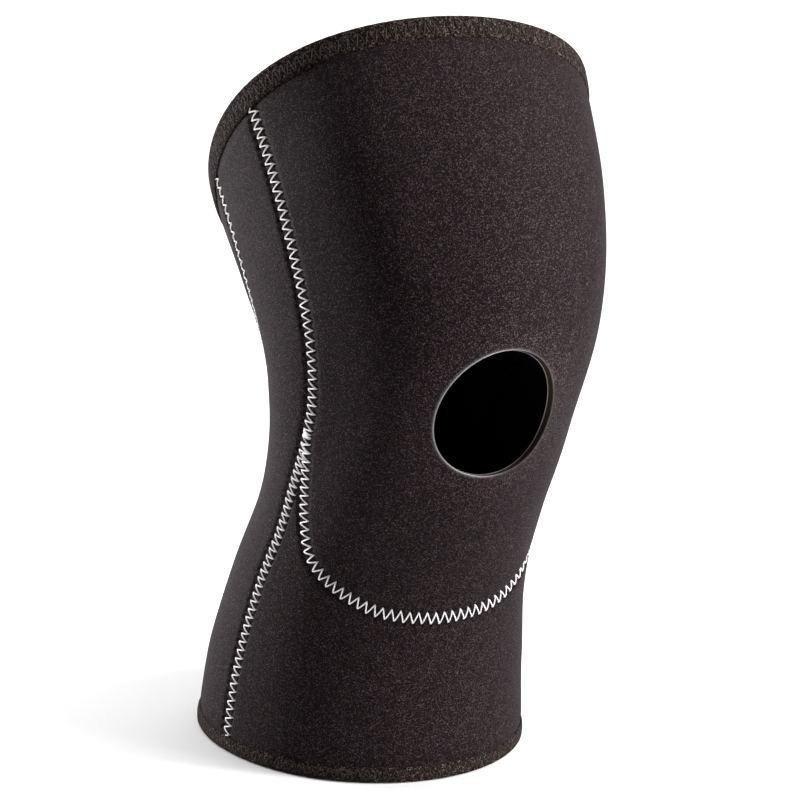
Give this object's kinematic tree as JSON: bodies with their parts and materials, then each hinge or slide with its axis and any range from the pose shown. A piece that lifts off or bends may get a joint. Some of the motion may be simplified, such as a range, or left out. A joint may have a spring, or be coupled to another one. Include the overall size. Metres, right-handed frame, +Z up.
{
  "type": "knee brace",
  "caption": "Pull-on knee sleeve of stitched three-layer laminate panels with bound rims and an open patella hole, springing back from a bend at the knee.",
  "frame": {"origin": "middle of the outline's box, on the plane of the bottom rim", "axes": "+Z up the leg from the calf rim to the thigh rim, -Y towards the kneecap, X across the leg"},
  "size_m": [0.1588, 0.1814, 0.2994],
  "materials": {
    "jersey": "black knitted jersey",
    "core": "matte foam rubber",
    "lining": "dark plain knit",
    "tape": "napped binding tape",
    "white_thread": "twisted sewing thread",
    "black_thread": "twisted sewing thread"
  },
  "bodies": {
    "calf": {"front_thigh_outer_jersey": "jersey", "front_shin_outer_jersey": "jersey", "left_side_outer_jersey": "jersey", "right_side_outer_jersey": "jersey", "back_outer_jersey": "jersey", "front_thigh_foam_core": "core", "front_shin_foam_core": "core", "left_side_foam_core": "core", "right_side_foam_core": "core", "back_foam_core": "core", "front_thigh_inner_lining": "lining", "front_shin_inner_lining": "lining", "left_side_inner_lining": "lining", "right_side_inner_lining": "lining", "back_inner_lining": "lining", "bottom_binding": "tape", "left_side_seam_needle_thread": "white_thread", "right_side_seam_needle_thread": "white_thread", "left_back_seam_needle_thread": "white_thread", "right_back_seam_needle_thread": "white_thread", "underknee_seam_needle_thread": "white_thread", "bottom_binding_needle_thread": "black_thread", "left_side_seam_bobbin_thread": "black_thread", "right_side_seam_bobbin_thread": "black_thread", "left_back_seam_bobbin_thread": "black_thread", "right_back_seam_bobbin_thread": "black_thread", "underknee_seam_bobbin_thread": "black_thread", "bottom_binding_bobbin_thread": "black_thread"},
    "thigh": {"top_binding": "tape", "top_binding_needle_thread": "black_thread", "top_binding_bobbin_thread": "black_thread"}
  },
  "joints": [
    {"name": "knee_flexion", "type": "hinge", "parent": "calf", "child": "thigh", "pos_m": [0, -0.0219, 0.148], "axis": [-1, 0, 0], "range_deg": [-25, 45], "stiffness_Nm_per_rad": 2, "deforming": ["front_thigh_outer_jersey", "front_shin_outer_jersey", "left_side_outer_jersey", "right_side_outer_jersey", "back_outer_jersey", "front_thigh_foam_core", "front_shin_foam_core", "left_side_foam_core", "right_side_foam_core", "back_foam_core", "front_thigh_inner_lining", "front_shin_inner_lining", "left_side_inner_lining", "right_side_inner_lining", "back_inner_lining", "left_side_seam_needle_thread", "right_side_seam_needle_thread", "left_back_seam_needle_thread", "right_back_seam_needle_thread", "underknee_seam_needle_thread", "left_side_seam_bobbin_thread", "right_side_seam_bobbin_thread", "left_back_seam_bobbin_thread", "right_back_seam_bobbin_thread", "underknee_seam_bobbin_thread"]}
  ]
}
